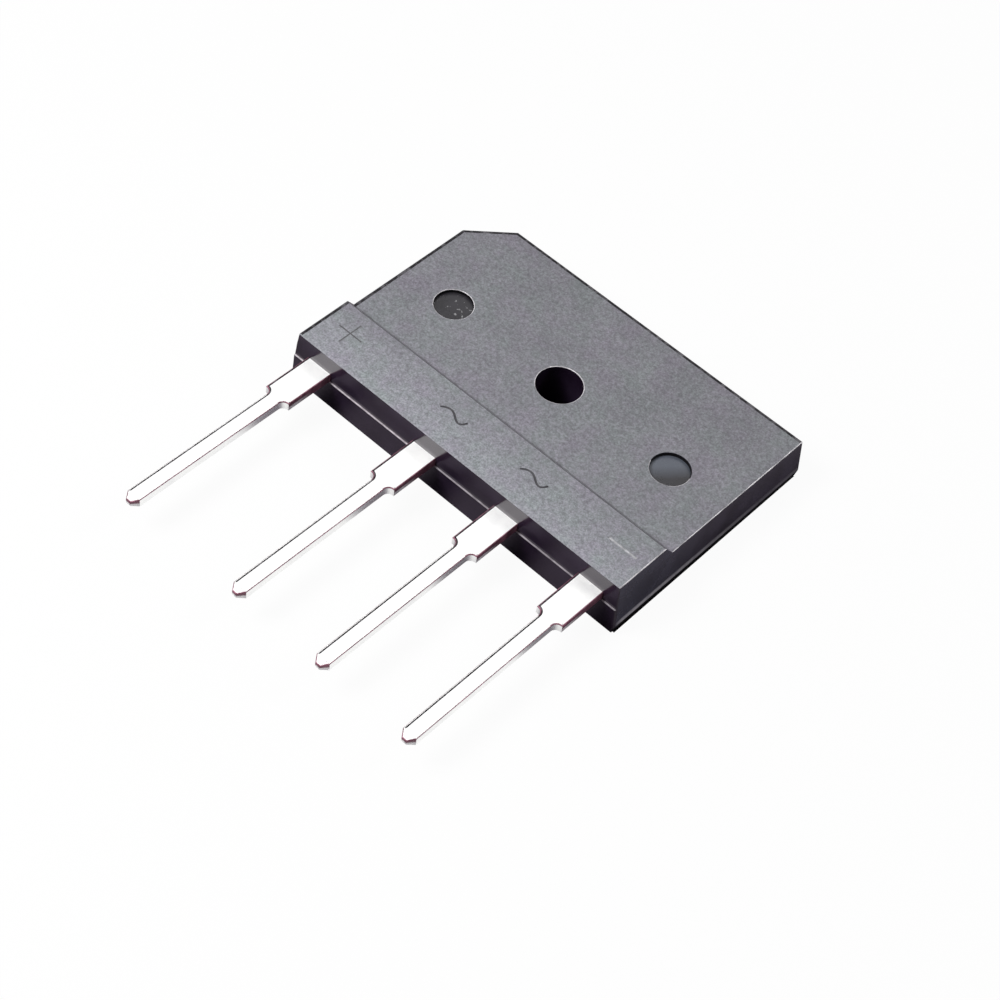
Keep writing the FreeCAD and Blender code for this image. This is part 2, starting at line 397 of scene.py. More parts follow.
def smoothEpoxy():
    settings = smoothSettings
    finish, nodes, links, shader, place = newFinish("smooth epoxy")
    patches = addNoise(nodes, links, place, settings["patchScale"], detail=4, roughness=0.6)
    span = settings["patchSpan"]
    base = addCloud(nodes, links, patches, span, settings["dark"], settings["light"])
    # The wall on the minus side is painted paler and bluer, a painted sheen
    sideSheenBase = addCloud(nodes, links, patches, span, settings["sideSheenDark"], settings["sideSheenLight"])
    stripSheenBase = addCloud(nodes, links, patches, span, settings["stripSideSheenDark"], settings["stripSideSheenLight"])
    x, y, z = addAxes(nodes, links, place)
    atStrip = addRange(nodes, links, y, settings["stripSideSpan"])
    sideSheenBase = mixColour(nodes, links, atStrip, sideSheenBase, stripSheenBase)
    startX, startY = settings["sideStart"]
    beyondX = addMath(nodes, links, "GREATER_THAN", x, startX)
    beyondY = addMath(nodes, links, "GREATER_THAN", y, startY)
    side = multiplyAll(nodes, links, beyondX, beyondY)
    base = mixColour(nodes, links, side, base, sideSheenBase)
    # The painted highlight line along the foot of the wall on the minus side
    highlight = multiplyAll(nodes, links, side, highlightLineShare(nodes, links, place, y, z))
    colour = mixColour(nodes, links, highlight, base, settings["highlightColour"])
    links.new(colour, shader.inputs["Base Color"])
    ripple = addNoise(nodes, links, place, settings["rippleScale"])
    addRoughness(nodes, links, shader, ripple, settings["roughness"])
    addBump(nodes, links, shader, ripple, settings["rippleHeight"], strength=0.5)
    shader.inputs["Specular IOR Level"].default_value = settings["specular"]
    shader.inputs["Specular Tint"].default_value = (*settings["specularTint"], 1)
    return finish


skirtSettings = {
    "dark": (0.004, 0.004, 0.005),  # the undercut foot and the walls of the recesses, dull and black, and darker than the other walls: painted shade
    "light": (0.010, 0.009, 0.011),
    "scale": 1400,
    "span": (0.35, 0.7),
    "roughness": 0.6,
    "specular": 0.1,
}

rimHighlightSettings = {
    "dark": (0.28, 0.27, 0.29),  # painted highlight: the rims of the top face are painted as a pale line
    "light": (0.80, 0.77, 0.80),
    "scale": 800,
    "span": (0.36, 0.56),
    "detail": 4,
    "noiseRoughness": 0.6,
    "roughness": 0.34,
    "specular": 0.5,
}

edgeShadeSettings = {
    "dark": (0.008, 0.007, 0.009),  # painted shade: a broken dark line beside the edges away from the light, on the body and the leads
    "light": (0.11, 0.105, 0.115),
    "scale": 2100,
    "span": (0.48, 0.66),
    "roughness": 0.6,
    "specular": 0.2,
}


def cloudedEpoxy(name, settings):
    # An even finish whose colour clouds from dark to light
    finish, nodes, links, shader, place = newFinish(name)
    detail = settings.get("detail", 3)
    cloud = addNoise(nodes, links, place, settings["scale"], detail, settings.get("noiseRoughness", 0.55))
    colour = addCloud(nodes, links, cloud, settings["span"], settings["dark"], settings["light"])
    links.new(colour, shader.inputs["Base Color"])
    shader.inputs["Roughness"].default_value = settings["roughness"]
    shader.inputs["Specular IOR Level"].default_value = settings["specular"]
    return finish


grooveSettings = {
    "deep": (0.042, 0.040, 0.047),  # painted shade in the bottoms of the engraved marks, fainter in the plus mark, and a painted highlight along the minus mark
    "fainter": (0.105, 0.103, 0.110),
    "pale": (0.46, 0.46, 0.48),
    "shadeScale": 3000,
    "shadeSpan": (0.35, 0.65),
    "shade": (0.6, 1.0),
    "roughness": 0.55,
}


def grooveFinish(name, colour):
    settings = grooveSettings
    finish, nodes, links, shader, place = newFinish(name)
    grain = addNoise(nodes, links, place, settings["shadeScale"])
    shade = addRange(nodes, links, grain, settings["shadeSpan"], settings["shade"])
    base = nodes.new("ShaderNodeRGB")
    base.outputs[0].default_value = (*colour, 1)
    links.new(shadeColour(nodes, links, base.outputs[0], shade), shader.inputs["Base Color"])
    shader.inputs["Roughness"].default_value = settings["roughness"]
    return finish


flashHighlightSettings = {
    "thick": ((0.34, 0.30, 0.33), (0.66, 0.61, 0.65)),  # clear resin bled out of the parting line, painted paler still as a highlight on the ledge
    "thin": ((0.18, 0.16, 0.18), (0.43, 0.40, 0.43)),
    "thinFrom": (-0.0035, -0.0015),  # less of it on the minus side
    "scale": 2600,
    "span": (0.3, 0.6),
    "roughness": (0.35, 0.6),
    "height": 0.00001,
}


def partingFlashHighlight():
    settings = flashHighlightSettings
    finish, nodes, links, shader, place = newFinish("parting flash and highlight")
    bleed = addNoise(nodes, links, place, settings["scale"])
    thick = addCloud(nodes, links, bleed, settings["span"], *settings["thick"])
    thin = addCloud(nodes, links, bleed, settings["span"], *settings["thin"])
    x, y, z = addAxes(nodes, links, place)
    thinShare = addRange(nodes, links, x, settings["thinFrom"])
    links.new(mixColour(nodes, links, thinShare, thick, thin), shader.inputs["Base Color"])
    addRoughness(nodes, links, shader, bleed, settings["roughness"])
    addBump(nodes, links, shader, bleed, settings["height"], strength=0.5)
    return finish


recessSettings = {
    "dark": (0.013, 0.012, 0.015),  # the ends of the ejector pins leave a smoother floor with fine rings
    "light": (0.030, 0.028, 0.034),
    "cloudScale": 700,
    "centreX": 0.0101,
    "ringPitch": 0.00009,
    "ringHeight": 0.000002,
    "paintedSheen": (0.088, 0.098, 0.122),  # painted sheen: the far part of the minus side's floor is painted paler
    "paintedSheenSpan": (-0.0006, 0.0005),
    "paintedSheenTowards": (-0.76, 0.65),
    "speckColour": (0.34, 0.34, 0.35),  # and the plus side's has bright specks
    "speckScale": 3600,
    "speckSpan": (0.64, 0.72),
    "speckShares": (0.0, 0.9),
    "roughness": (0.22, 0.36),
    "specular": 0.35,
}


def recessFloor():
    settings = recessSettings
    finish, nodes, links, shader, place = newFinish("recess floor")
    x, y, z = addAxes(nodes, links, place)
    centre = multiplyAll(nodes, links, addMath(nodes, links, "SIGN", x), settings["centreX"])
    across = addMath(nodes, links, "SUBTRACT", x, centre)
    towardsX, towardsY = settings["paintedSheenTowards"]
    far = addMath(nodes, links, "MULTIPLY", across, towardsX)
    far = addMath(nodes, links, "ADD", far, addMath(nodes, links, "MULTIPLY", y, towardsY))
    farShare = addRange(nodes, links, far, settings["paintedSheenSpan"])
    radius = addMath(nodes, links, "POWER", across, 2.0)
    radius = addMath(nodes, links, "ADD", radius, addMath(nodes, links, "POWER", y, 2.0))
    radius = addMath(nodes, links, "SQRT", radius)
    turns = addMath(nodes, links, "MULTIPLY", radius, math.tau / settings["ringPitch"])
    rings = addMath(nodes, links, "SINE", turns)
    cloud = addNoise(nodes, links, place, settings["cloudScale"], detail=4)
    base = addCloud(nodes, links, cloud, noiseSpan, settings["dark"], settings["light"])
    # Painted sheen on the far part of the minus side's floor
    onMinusSide = addMath(nodes, links, "GREATER_THAN", x)
    paintedSheen = multiplyAll(nodes, links, farShare, onMinusSide)
    base = mixColour(nodes, links, paintedSheen, base, settings["paintedSheen"])
    speckNoise = addNoise(nodes, links, place, settings["speckScale"], detail=2)
    specks = addRange(nodes, links, speckNoise, settings["speckSpan"], settings["speckShares"])
    specks = multiplyAll(nodes, links, specks, addMath(nodes, links, "LESS_THAN", x))
    links.new(mixColour(nodes, links, specks, base, settings["speckColour"]), shader.inputs["Base Color"])
    addRoughness(nodes, links, shader, cloud, settings["roughness"])
    addBump(nodes, links, shader, rings, settings["ringHeight"], strength=0.4)
    shader.inputs["Specular IOR Level"].default_value = settings["specular"]
    return finish


tinSettings = {
    "dark": (0.90, 0.90, 0.90),  # bright tin plate with a faint milky bloom
    "light": (0.97, 0.97, 0.96),
    "bloomScale": 900,
    "bloomSpan": (0.3, 0.6),
    "lineScale": 5200,
    "lineStretch": (1, 0.06, 1),  # rolling lines run along the lead
    "lineHeight": 0.0000005,
    "roughnessChange": 0.02,
}


def tinFinish(name, metallic, roughness):
    settings = tinSettings
    finish, nodes, links, shader, place = newFinish(name)
    bloom = addNoise(nodes, links, place, settings["bloomScale"], detail=4)
    colour = addCloud(nodes, links, bloom, settings["bloomSpan"], settings["dark"], settings["light"])
    links.new(colour, shader.inputs["Base Color"])
    stretch = settings["lineStretch"]
    lines = addNoise(nodes, links, place, settings["lineScale"], roughness=0.6, stretch=stretch)
    change = settings["roughnessChange"]
    addRoughness(nodes, links, shader, lines, (roughness - change, roughness + change))
    addBump(nodes, links, shader, lines, settings["lineHeight"], strength=0.15)
    shader.inputs["Metallic"].default_value = metallic
    return finish


shearedSettings = {
    "dark": (0.13, 0.044, 0.068),  # dark purplish red on the torn sides where the web between leads was cut off, and on the rolled edges and tips
    "light": (0.33, 0.14, 0.195),
    "tearScale": 3800,
    "tearStretch": (0.35, 0.35, 0.05),  # tears run through the thickness of the sheet
    "tearSpan": (0.36, 0.68),
    "tearHeight": 0.00001,
    "burnished": (0.88, 0.87, 0.87),  # below them the punch has rubbed the side bright
    "tornBottom": (0.00290, 0.00280),
    "tornEnd": (-0.0127, -0.0140),
    "roughness": (0.38, 0.62),
    "metallic": 0.45,
}


def shearedEdge():
    settings = shearedSettings
    finish, nodes, links, shader, place = newFinish("sheared edge")
    stretch = settings["tearStretch"]
    tears = addNoise(nodes, links, place, settings["tearScale"], detail=4, roughness=0.65, stretch=stretch)
    torn = addCloud(nodes, links, tears, settings["tearSpan"], settings["dark"], settings["light"])
    x, y, z = addAxes(nodes, links, place)
    below = addRange(nodes, links, z, settings["tornBottom"])
    beyond = addRange(nodes, links, y, settings["tornEnd"])
    rubbed = multiplyAll(nodes, links, below, beyond)
    links.new(mixColour(nodes, links, rubbed, torn, settings["burnished"]), shader.inputs["Base Color"])
    addRoughness(nodes, links, shader, tears, settings["roughness"])
    addBump(nodes, links, shader, tears, settings["tearHeight"], strength=0.6)
    shader.inputs["Metallic"].default_value = settings["metallic"]
    return finish


copperSettings = {
    "dark": (0.72, 0.34, 0.22),
    "light": (0.88, 0.48, 0.33),
    "cloudScale": 1100,
    "grainScale": 6600,
    "grainHeight": 0.000003,
    "roughness": (0.26, 0.42),
}

solderSettings = {
    "dark": (0.42, 0.43, 0.45),
    "light": (0.62, 0.63, 0.65),
    "cloudScale": 1600,
    "grainScale": 9600,
    "grainHeight": 0.000003,
    "roughness": (0.34, 0.50),
}


def innerMetal(name, settings):
    # Metal that clouds from dark to light, with a fine grain
    finish, nodes, links, shader, place = newFinish(name)
    cloud = addNoise(nodes, links, place, settings["cloudScale"], detail=4)
    colour = addCloud(nodes, links, cloud, noiseSpan, settings["dark"], settings["light"])
    links.new(colour, shader.inputs["Base Color"])
    grain = addNoise(nodes, links, place, settings["grainScale"])
    addRoughness(nodes, links, shader, grain, settings["roughness"])
    addBump(nodes, links, shader, grain, settings["grainHeight"], strength=0.4)
    shader.inputs["Metallic"].default_value = 1.0
    return finish


siliconSettings = {
    "dark": (0.07, 0.08, 0.10),  # slate grey, with a blue sheen of passivation glass that varies
    "light": (0.10, 0.14, 0.22),
    "filmScale": 500,
    "filmSpan": (0.35, 0.6),
    "sawScale": 9000,  # the marks of the saw run up and down the sides
    "sawStretch": (1, 1, 0.2),
    "sawHeight": 0.000002,
    "roughness": (0.18, 0.4),
    "coat": 0.4,
}


def siliconFinish():
    settings = siliconSettings
    finish, nodes, links, shader, place = newFinish("silicon die")
    film = addNoise(nodes, links, place, settings["filmScale"])
    colour = addCloud(nodes, links, film, settings["filmSpan"], settings["dark"], settings["light"])
    links.new(colour, shader.inputs["Base Color"])
    stretch = settings["sawStretch"]
    saw = addNoise(nodes, links, place, settings["sawScale"], detail=2, roughness=0.5, stretch=stretch)
    addRoughness(nodes, links, shader, saw, settings["roughness"])
    addBump(nodes, links, shader, saw, settings["sawHeight"], strength=0.4)
    shader.inputs["Coat Weight"].default_value = settings["coat"]
    return finish


finishes = {
    "textured": texturedEpoxy(),
    "smooth": smoothEpoxy(),
    "skirt": cloudedEpoxy("skirt epoxy", skirtSettings),
    "rim": cloudedEpoxy("painted rim highlight", rimHighlightSettings),
    "edge": cloudedEpoxy("painted edge shade", edgeShadeSettings),
    "groove": grooveFinish("painted groove shade", grooveSettings["deep"]),
    "faintGroove": grooveFinish("painted faint groove shade", grooveSettings["fainter"]),
    "highlightGroove": grooveFinish("painted groove highlight", grooveSettings["pale"]),
    "flashHighlight": partingFlashHighlight(),
    "recess": recessFloor(),
    "tin": tinFinish("bright tin", metallic=0.1, roughness=0.3),
    "tinSide": tinFinish("tinned side", metallic=1.0, roughness=0.42),
    "sheared": shearedEdge(),
    "copper": innerMetal("rolled copper", copperSettings),
    "solder": innerMetal("solder", solderSettings),
    "silicon": siliconFinish(),
}
print("materials made:", len(finishes))


def setFinish(piece, names):
    for name in names:
        piece.data.materials.append(finishes[name])


# Moulded body

bodySettings = {
    "plateTop": 3.6,
    "stripWidth": 4.9,
    "stepRun": 0.8,
    "partingHeight": 2.5,
    "ledge": 0.12,
    "leadWallDraft": 3.3,  # degrees
    "lowerLeadWallDraft": 2.3,
    "wallDraft": 4.5,
    "skirtDraft": 10.0,
    "skirtHeight": 0.6,
    "cornerCut": 3.0,
    "edgeRadius": 0.11,
    "cornerRadius": 0.16,
    "footRadius": 0.05,
    "cornerBend": 30,  # the least bend in degrees of the edges that are rounded
    "rimBend": 20,
    "uprightRise": 0.3,
    "uprightLean": 0.5,
    "edgeBand": 0.19,  # the darkened band beside the rims away from the light
    "bandDirections": [(-1, 0, 0), (0, 1, 0), (-1, 1, 0)],
    "bandReach": 0.6,  # the middles of the band's faces lie this close to the walls
    "bandArea": 8.0,  # square millimetres, above any of the band's faces and below the faces it frames
}


def bodyBlank():
    # A block with the strip pulled up along its lead side, the step sloped and the lower half proud
    settings = bodySettings
    low, high = nodeBox("body")
    plateTop = settings["plateTop"]
    nearWall = low.y + settings["ledge"]
    size = Vector((high.x - low.x, high.y - nearWall, plateTop))
    centre = Vector((0, (high.y + nearWall) / 2, plateTop / 2))
    bpy.ops.object.select_all(action="DESELECT")
    bpy.ops.mesh.primitive_cube_add(size=1, location=centre, scale=size)
    body = bpy.context.object
    body.name = "mouldedBody"
    applyPlace(body)
    startEditing(body)
    stepFoot = low.y + settings["stripWidth"] + settings["stepRun"]
    sliceAt((0, stepFoot, 0), (0, 1, 0))
    pickFaces(body, lambda centre, normal: normal.z > 0.9 and centre.y < stepFoot)
    pull(z=high.z - plateTop)
    pickPoints(body, lambda point: near(point.y, stepFoot) and near(point.z, high.z))
    move(y=-settings["stepRun"])
    parting = settings["partingHeight"]
    sliceAt((0, 0, parting), (0, 0, 1))
    pickFaces(body, lambda centre, normal: normal.y < -0.9 and centre.z < parting)
    pull(y=-settings["ledge"])
    lowerInset = parting * math.tan(math.radians(settings["lowerLeadWallDraft"]))
    pickPoints(body, lambda point: near(point.y, low.y) and near(point.z, 0))
    move(y=lowerInset)
    upperInset = (high.z - parting) * math.tan(math.radians(settings["leadWallDraft"]))
    pickPoints(body, lambda point: near(point.y, nearWall) and near(point.z, high.z))
    move(y=upperInset)
    stopEditing()
    return body


def draftWalls(body):
    # Slice each outer wall to its draft, widest at the crest a little above the seating plane
    settings = bodySettings
    low, high = nodeBox("body")
    cut = (high.x + high.y - settings["cornerCut"]) / 2
    walls = [
        (Vector((high.x, 0, 0)), Vector((1, 0, 0))),
        (Vector((low.x, 0, 0)), Vector((-1, 0, 0))),
        (Vector((0, high.y, 0)), Vector((0, 1, 0))),
        (Vector((-cut, cut, 0)), Vector((-1, 1, 0)).normalized()),
    ]
    up = Vector((0, 0, 1))
    startEditing(body)
    for place, outward in walls:
        crest = place + up * settings["skirtHeight"]
        for draft in (settings["wallDraft"], -settings["skirtDraft"]):
            lean = math.radians(draft)
            sliceAt(crest, outward * math.cos(lean) + up * math.sin(lean), clearOutside=True)
    mergeAll()
    stopEditing()


def roundBody(body):
    settings = bodySettings
    low, high = nodeBox("body")
    top = high.z
    plateTop = settings["plateTop"]
    startEditing(body)

    def isCorner(first, second, bend):
        # The upright edges between two walls
        rise = abs(first.z - second.z)
        lean = abs(first.y - second.y)
        isUpright = rise > settings["uprightRise"] and lean < settings["uprightLean"]
        return isUpright and bend > settings["cornerBend"]

    pickEdges(body, isCorner)
    roundEdges(settings["cornerRadius"], 4)

    def isRim(first, second, bend):
        # The outlines of the strip's top and the plate's top
        onStrip = near(first.z, top) and near(second.z, top)
        onPlate = near(first.z, plateTop) and near(second.z, plateTop)
        foot = low.y + settings["stripWidth"] + settings["stepRun"]
        atStep = near(first.y, foot) and near(second.y, foot)
        return bend > settings["rimBend"] and (onStrip or (onPlate and not atStep))

    def isFoot(first, second, bend):
        return bend > settings["rimBend"] and near(first.z, 0) and near(second.z, 0)

    pickEdges(body, isRim)
    roundEdges(settings["edgeRadius"], 3)
    pickEdges(body, isFoot)
    roundEdges(settings["footRadius"], 2)
    bpy.ops.mesh.select_all(action="SELECT")
    bpy.ops.mesh.remove_doubles(threshold=0.002)
    for direction in settings["bandDirections"]:
        sliceBand(body, plateTop, Vector(direction).normalized())
    sliceBand(body, top, Vector((-1, 0, 0)))
    stopEditing()


def sliceBand(body, level, direction):
    # Part a narrow band of a top face from the rest, beside the edge that lies in a direction
    pickFaces(body, lambda centre, normal: normal.z > 0.999 and near(centre.z, level))
    mesh = bmesh.from_edit_mesh(body.data)
    reach = max(point.co.dot(direction) for point in mesh.verts if point.select)
    bpy.ops.mesh.bisect(plane_co=direction * (reach - bodySettings["edgeBand"]), plane_no=direction)


def paintBody(body):
    # The top and bottom faces are textured, the walls smooth, the foot dull with painted shade and the
    # ledge pale with a painted highlight. The rims on the minus side carry a painted highlight, and a
    # painted shade band lies beside those away from the light.
    settings = bodySettings
    low, high = nodeBox("body")
    reach = settings["bandReach"]
    names = ["textured", "smooth", "skirt", "rim", "flashHighlight", "edge"]
    setFinish(body, names)
    for face in body.data.polygons:
        level = face.center.z
        upward = face.normal.z
        drop = min(abs(level - high.z), abs(level - settings["plateTop"]))
        onLedge = near(level, settings["partingHeight"]) and face.center.y < low.y + settings["ledge"]
        inBand = upward > 0.999 and drop < 0.01 and face.area < settings["bandArea"]
        x = face.center.x
        y = face.center.y
        atPlusWall = x < low.x + reach
        atFarWall = y > high.y - reach
        atCutCorner = y - x > high.y - low.x - settings["cornerCut"] - reach
        name = "smooth"
        # The ledge gets the pale resin flash with its painted highlight
        if onLedge and upward > 0.9:
            name = "flashHighlight"
        # The band beside the rims away from the light gets the painted shade
        elif inBand and (atPlusWall or atFarWall or atCutCorner):
            name = "edge"
        elif upward > 0.995 or upward < -0.995:
            name = "textured"
        # Rim bevels facing along plus X get the painted highlight
        elif upward > 0.1 and drop < settings["edgeRadius"] and face.normal.x > 0.1:
            name = "rim"
        elif upward > 0.1 and drop < settings["edgeRadius"] and face.normal.y < -0.1:
            name = "textured"
        # The undercut foot gets the darker finish, painted shade
        elif upward < -0.1 and level < settings["skirtHeight"]:
            name = "skirt"
        face.material_index = names.index(name)


holeSettings = {
    "rim": 0.05,
    "rimSteps": 4,
    "points": 96,
    "recessRadius": 1.45,
    "recessDepth": 0.3,
    "recessSpacing": 20.2,
    "recessRim": 0.04,
    "brightLean": 0.3,
    "overshoot": 1.0,  # how far the punches reach past the faces
}


def punchTool(radius, bottom, top, rim, wall, bright):
    # A round punch that opens out in a quarter circle where it meets the surface at the top; its wall has
    # the named finish, and the rim gets the painted highlight where the test of its direction passes
    steps = holeSettings["rimSteps"]
    shaftTop = top - rim
    bpy.ops.object.select_all(action="DESELECT")
    bpy.ops.mesh.primitive_cylinder_add(
        vertices=holeSettings["points"], radius=radius, depth=shaftTop - bottom,
        location=(0, 0, (shaftTop + bottom) / 2))
    tool = bpy.context.object
    applyPlace(tool)
    startEditing(tool)
    pickFaces(tool, lambda centre, normal: normal.z > 0.9)
    width = radius
    height = 0
    for step in range(1, steps + 1):
        angle = math.radians(90) * step / steps
        rise = rim * math.sin(angle) - height
        height += rise
        wider = radius + rim * (1 - math.cos(angle))
        pull(z=rise)
        bpy.ops.transform.resize(
            value=(wider / width, wider / width, 1), center_override=(0, 0, shaftTop + height))
        width = wider
    pull(z=holeSettings["overshoot"])
    stopEditing()
    names = [wall, "rim", "recess"]
    setFinish(tool, names)
    for face in tool.data.polygons:
        name = wall
        if face.center.z > shaftTop and bright(face.normal):
            name = "rim"
        elif face.normal.z < -0.9:
            name = "recess"
        face.material_index = names.index(name)
    return tool


def punchHoles(body):
    settings = holeSettings
    mounts = frame["record"]["mounts"]
    holeRadius = [mount for mount in mounts if mount["name"] == "screw_hole"][0]["dims"]["r_mm"]
    top = bodySettings["plateTop"]
    bottom = -settings["overshoot"]
    cutAway(body, punchTool(holeRadius, bottom, top, settings["rim"], "smooth", lambda normal: True))
    floor = top - settings["recessDepth"]
    for side in (-1, 1):

        def isBright(normal):
            # All round on the plus side, and towards the leads on the minus side
            return side < 0 or normal.y < settings["brightLean"] * normal.x

        tool = punchTool(settings["recessRadius"], floor, top, settings["recessRim"], "skirt", isBright)
        tool.location.x = side * settings["recessSpacing"] / 2
        applyPlace(tool)
        cutAway(body, tool)


# Polarity marks, engraved in the strip above each lead

markSettings = {
    "strokeRadius": 0.09,
    "plusSink": 0.025,  # depth of the grooves, which are worn at the ends of the row
    "waveSink": 0.06,
    "minusSink": 0.08,
    "armLength": 2.15,
    "minusLength": 2.4,
    "plusPlace": (-12.36, -8.13),
    "leftWavePlace": (-2.5, -8.19),
    "rightWavePlace": (4.8, -8.17),
    "minusPlace": (12.65, -8.17),
    "wave": [
        (-1.14, -0.09), (-0.85, 0.2), (-0.4, 0.33), (0.02, 0.1),
        (0.4, -0.2), (0.75, -0.33), (1.0, -0.15), (1.14, 0.2)],
}


def groove(name, points, centre, level, sink, finishName):
    # A groove along a smooth or straight line of points, cut by a rod that lies above the surface
    line = bpy.data.curves.new(name, "CURVE")
    line.dimensions = "3D"
    line.bevel_depth = markSettings["strokeRadius"]
    line.bevel_resolution = 3
    line.use_fill_caps = True
    line.resolution_u = 6
    stroke = line.splines.new("NURBS")
    stroke.points.add(len(points) - 1)
    height = level + markSettings["strokeRadius"] - sink
    for point, (x, y) in zip(stroke.points, points):
        point.co = (centre[0] + x, centre[1] + y, height, 1)
    stroke.order_u = min(4, len(points))
    stroke.use_endpoint_u = True
    tool = bpy.data.objects.new(name, line)
    bpy.context.scene.collection.objects.link(tool)
    makeActive(tool)
    bpy.ops.object.convert(target="MESH")
    tool = bpy.context.object
    setFinish(tool, [finishName])
    return tool


def engraveMarks(body):
    settings = markSettings
    level = nodeBox("body")[1].z
    arm = settings["armLength"] / 2
    dash = settings["minusLength"] / 2
    plusAcross = [(-arm, 0), (arm, 0)]
    plusUp = [(0, -arm), (0, arm)]
    wave = settings["wave"]
    minusAcross = [(-dash, 0), (dash, 0)]
    strokes = [
        ("plusAcross", plusAcross, settings["plusPlace"], settings["plusSink"], "faintGroove"),
        ("plusUp", plusUp, settings["plusPlace"], settings["plusSink"], "faintGroove"),
        ("leftWave", wave, settings["leftWavePlace"], settings["waveSink"], "groove"),
        ("rightWave", wave, settings["rightWavePlace"], settings["waveSink"], "groove"),
        ("minusAcross", minusAcross, settings["minusPlace"], settings["minusSink"], "highlightGroove"),
    ]
    for name, points, centre, sink, finishName in strokes:
        cutAway(body, groove(name, points, centre, level, sink, finishName))


def hollowForInnerPieces(body):
    # The moulding is cast round the lead frame and the diodes, so their shapes are taken out of it
    for nodeName in sorted(frame["nodes"]):
        if nodeName != "body":
            tool = mergedCopy(nodeName, "tool_" + nodeName)
            setFinish(tool, ["smooth"])
            cutAway(body, tool)


def makeBody():
    body = bodyBlank()
    draftWalls(body)
    roundBody(body)
    paintBody(body)
    punchHoles(body)
    engraveMarks(body)
    hollowForInnerPieces(body)
    smoothWithFlatFaces(body)
    finishPiece(body, "body")
    print("moulded body made with", len(body.data.polygons), "faces")


makeBody()


# Terminals

leadSettings = {
    "rolledRadius": 0.085,  # the punch rolls the upper edges over
    "burrRadius": 0.03,
    "edgeBend": 40,  # the least bend in degrees of the edges that are rounded
    "slack": 0.01,  # for points that lie on a cut
    "edgeReach": 0.16,  # the edges of the thinned tip lie this close to the faces of the sheet
    "edgeBand": 0.1,
    "bandArea": 1.8,
    "bandSide": 0.1,  # the dark band lies this far from the middle, towards the plus side
    "rootDepth": 0.06,  # the rolled edges run just inside the upper wall
    "platingDepth": 0.6,  # the tin runs a little way inside the moulding
    "shoulderEnd": -14.8,
    "tailStart": -15.8,
    "tipLength": 0.55,
    "names": {
        "plus_terminal": "plusTerminal",
        "left_ac_terminal": "leftAcTerminal",
        "right_ac_terminal": "rightAcTerminal",
        "minus_terminal": "minusTerminal",
    },
}


def paintLead(lead, leadTop, rootEnd, platingEnd):
    # Bright tin above and below, dark rolled edges and tip, a dark band beside the edge away from the
    # light, torn sides at the shoulder, and bare copper inside the moulding
    settings = leadSettings
    points = [point.co for point in lead.data.vertices]
    tail = [point.x for point in points if point.y < settings["tailStart"]]
    middle = sum(tail) / len(tail)
    tipEnd = min(point.y for point in points)
    names = ["tin", "tinSide", "sheared", "copper", "edge"]
    setFinish(lead, names)
    for face in lead.data.polygons:
        y = face.center.y
        atTip = y < tipEnd + settings["tipLength"]
        rolled = 0.1 < face.normal.z < 0.97 and face.center.z > leadTop - settings["rolledRadius"]
        inBand = face.normal.z > 0.999 and near(face.center.z, leadTop) and face.area < settings["bandArea"]
        name = "tinSide"
        if y > platingEnd:
            name = "copper"
        elif inBand and y < rootEnd and face.center.x < middle - settings["bandSide"]:
            name = "edge"
        elif abs(face.normal.z) > 0.97 or (atTip and abs(face.normal.z) > 0.9):
            name = "tin"
        elif rolled or atTip or (y > settings["shoulderEnd"] and abs(face.normal.x) > 0.9):
            name = "sheared"
        face.material_index = names.index(name)


def makeTerminal(nodeName, name):
    settings = leadSettings
    lead = mergedCopy(nodeName, name)
    leadTop = nodeBox(nodeName)[1].z
    underside = bodySettings["partingHeight"]
    mouth = nodeBox("body")[0].y
    lean = math.tan(math.radians(bodySettings["leadWallDraft"]))
    upperWall = mouth + bodySettings["ledge"] + (leadTop - underside) * lean
    rootEnd = upperWall + settings["rootDepth"]
    platingEnd = mouth + settings["platingDepth"]
    edgeReach = settings["edgeReach"]
    slack = settings["slack"]
    startEditing(lead)
    for cut in (mouth, rootEnd, platingEnd):
        sliceAt((0, cut, 0), (0, 1, 0))

    def isUpper(first, second, bend):
        outside = max(first.y, second.y) < rootEnd + slack
        isHigh = min(first.z, second.z) > leadTop - edgeReach
        return bend > settings["edgeBend"] and outside and isHigh

    def isLower(first, second, bend):
        outside = max(first.y, second.y) < mouth + slack
        isLow = max(first.z, second.z) < underside + edgeReach
        return bend > settings["edgeBend"] and outside and isLow

    def isTop(centre, normal):
        return normal.z > 0.999 and near(centre.z, leadTop) and centre.y < rootEnd

    pickEdges(lead, isUpper)
    roundEdges(settings["rolledRadius"], 3)
    pickEdges(lead, isLower)
    roundEdges(settings["burrRadius"], 1)
    pickFaces(lead, isTop)
    bpy.ops.mesh.inset(thickness=settings["edgeBand"])
    stopEditing()
    paintLead(lead, leadTop, rootEnd, platingEnd)
    smoothWithFlatFaces(lead)
    finishPiece(lead, nodeName)
    print("terminal made:", name)


for nodeName, name in leadSettings["names"].items():
    makeTerminal(nodeName, name)


# Inner pieces, which the moulding hides, keep their own solids and get their finishes

def paintInnerPieces():
    kinds = {"die": "silicon", "solder": "solder", "jumper": "copper"}
    for nodeName, node in frame["nodes"].items():
        ending = nodeName.split("_")[-1]
        if ending in kinds:
            node.data.materials.clear()
            node.data.materials.append(finishes[kinds[ending]])


paintInnerPieces()
print("inner pieces painted")


# Floor, lamps, world and camera

